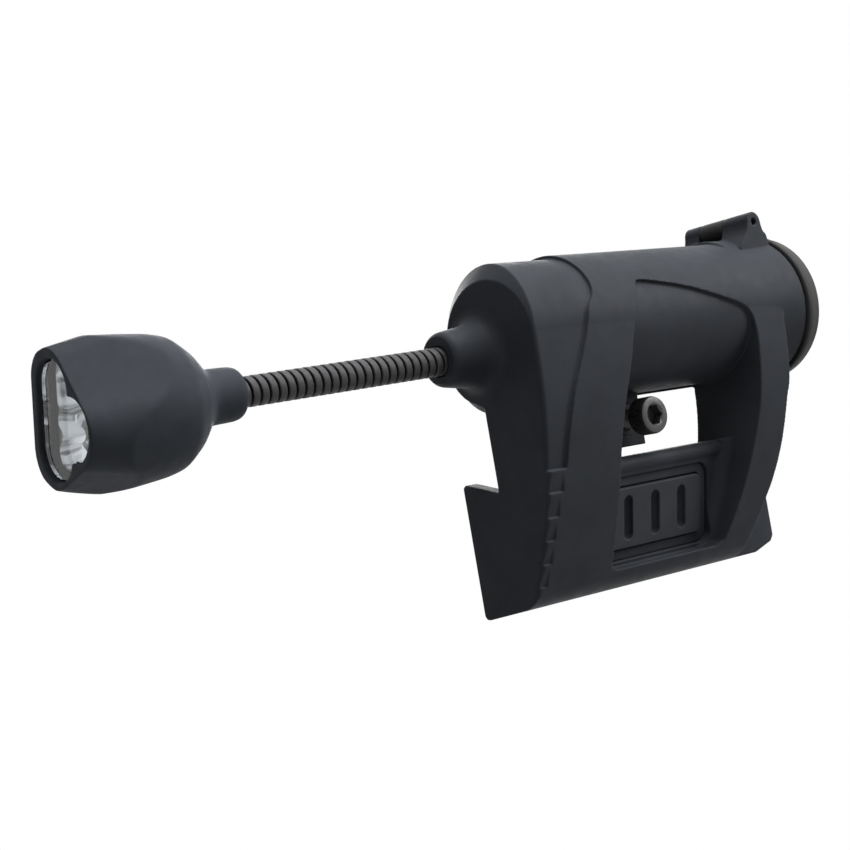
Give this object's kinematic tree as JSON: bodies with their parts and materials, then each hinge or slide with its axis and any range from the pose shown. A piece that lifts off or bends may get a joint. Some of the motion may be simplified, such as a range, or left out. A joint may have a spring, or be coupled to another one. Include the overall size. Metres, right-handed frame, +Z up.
{
  "type": "helmet light",
  "caption": "Rail-mounted helmet light: battery tube with hinged rear door, hooked foot with switch pad and clamp screw, and a lamp on a bendable gooseneck.",
  "frame": {"origin": "middle of the foot's back face, which lies against the helmet", "axes": "+X back along the battery tube towards its door, +Y into the helmet, +Z up; the lamp points along -X"},
  "size_m": [0.1269, 0.0234, 0.0542],
  "materials": {
    "shell": "matt moulded",
    "rubber": "matt",
    "steel": "satin",
    "black_steel": "black oxide",
    "brass": "satin",
    "board": "satin",
    "white_board": "satin",
    "chips": "matt",
    "cell": "printed sleeve left plain",
    "lead": "matt",
    "aluminium": "satin",
    "mirror": "metallised",
    "clear": "clear",
    "led": "satin"
  },
  "bodies": {
    "body": {"body_shell": "shell", "foot_cover": "shell", "cover_screws": "steel", "switch_bezel": "rubber", "tact_switch": "steel", "driver_board": "board", "board_parts": "chips", "front_contact": "brass", "ground_strip": "steel", "battery_cell": "cell", "body_lead": "lead", "hinge_pin": "steel", "clamp_insert": "brass", "body_ferrule": "brass", "neck_root": "black_steel", "lead_root": "lead"},
    "door": {"battery_door": "shell", "door_gasket": "rubber", "door_contact": "brass", "door_spring": "steel"},
    "switch": {"switch_pad": "rubber", "tact_plunger": "chips"},
    "clamp_foot": {"clamp_pad": "rubber"},
    "clamp_bolt": {"clamp_screw": "black_steel"},
    "link_1": {"neck_link_1": "black_steel", "lead_1": "lead"},
    "link_2": {"neck_link_2": "black_steel", "lead_2": "lead"},
    "link_3": {"neck_link_3": "black_steel", "lead_3": "lead"},
    "link_4": {"neck_link_4": "black_steel", "lead_4": "lead"},
    "link_5": {"neck_link_5": "black_steel", "lead_5": "lead"},
    "link_6": {"neck_link_6": "black_steel", "lead_6": "lead"},
    "link_7": {"neck_link_7": "black_steel", "lead_7": "lead"},
    "lamp": {"neck_tip": "black_steel", "lead_tip": "lead", "lamp_ferrule": "brass", "lamp_carrier": "aluminium", "led_board": "white_board", "leds": "led", "reflector": "mirror", "lens_seal": "rubber", "lens": "clear", "lamp_housing": "shell"}
  },
  "joints": [
    {"name": "door_hinge", "type": "hinge", "parent": "body", "child": "door", "pos_m": [0.0267, -0.0094, 0.0433], "axis": [0, -1, 0], "range_deg": [0, 110]},
    {"name": "switch_push", "type": "slide", "parent": "body", "child": "switch", "axis": [0, 0.9744, 0.225], "range_m": [0, 0.0008], "stiffness_N_per_m": 1500, "springref_m": -0.0005},
    {"name": "clamp_drive", "type": "slide", "parent": "body", "child": "clamp_foot", "axis": [0, 1, 0], "range_m": [0, 0.002]},
    {"name": "clamp_turn", "type": "hinge", "parent": "clamp_foot", "child": "clamp_bolt", "pos_m": [-0.0027, -0.0094, 0.0158], "axis": [0, 1, 0], "range_deg": [0, 1441]},
    {"name": "neck_pitch_1", "type": "hinge", "parent": "body", "child": "link_1", "pos_m": [-0.03735, -0.0079, 0.02774], "axis": [0, 1, 0], "range_deg": [-20, 20]},
    {"name": "neck_yaw_1", "type": "hinge", "parent": "link_1", "child": "link_2", "pos_m": [-0.04146, -0.0079, 0.02762], "axis": [-0.0279, 0, 0.9996], "range_deg": [-20, 20]},
    {"name": "neck_pitch_2", "type": "hinge", "parent": "link_2", "child": "link_3", "pos_m": [-0.04557, -0.0079, 0.02751], "axis": [0, 1, 0], "range_deg": [-20, 20]},
    {"name": "neck_yaw_2", "type": "hinge", "parent": "link_3", "child": "link_4", "pos_m": [-0.04968, -0.0079, 0.02739], "axis": [-0.0279, 0, 0.9996], "range_deg": [-20, 20]},
    {"name": "neck_pitch_3", "type": "hinge", "parent": "link_4", "child": "link_5", "pos_m": [-0.05378, -0.0079, 0.02728], "axis": [0, 1, 0], "range_deg": [-20, 20]},
    {"name": "neck_yaw_3", "type": "hinge", "parent": "link_5", "child": "link_6", "pos_m": [-0.05789, -0.0079, 0.02717], "axis": [-0.0279, 0, 0.9996], "range_deg": [-20, 20]},
    {"name": "neck_pitch_4", "type": "hinge", "parent": "link_6", "child": "link_7", "pos_m": [-0.062, -0.0079, 0.02705], "axis": [0, 1, 0], "range_deg": [-20, 20]},
    {"name": "neck_yaw_4", "type": "hinge", "parent": "link_7", "child": "lamp", "pos_m": [-0.06611, -0.0079, 0.02694], "axis": [-0.0279, 0, 0.9996], "range_deg": [-20, 20]}
  ],
  "couplings": [
    {"joint": "clamp_turn", "follows": "clamp_drive", "rad_per_m": 12566}
  ]
}
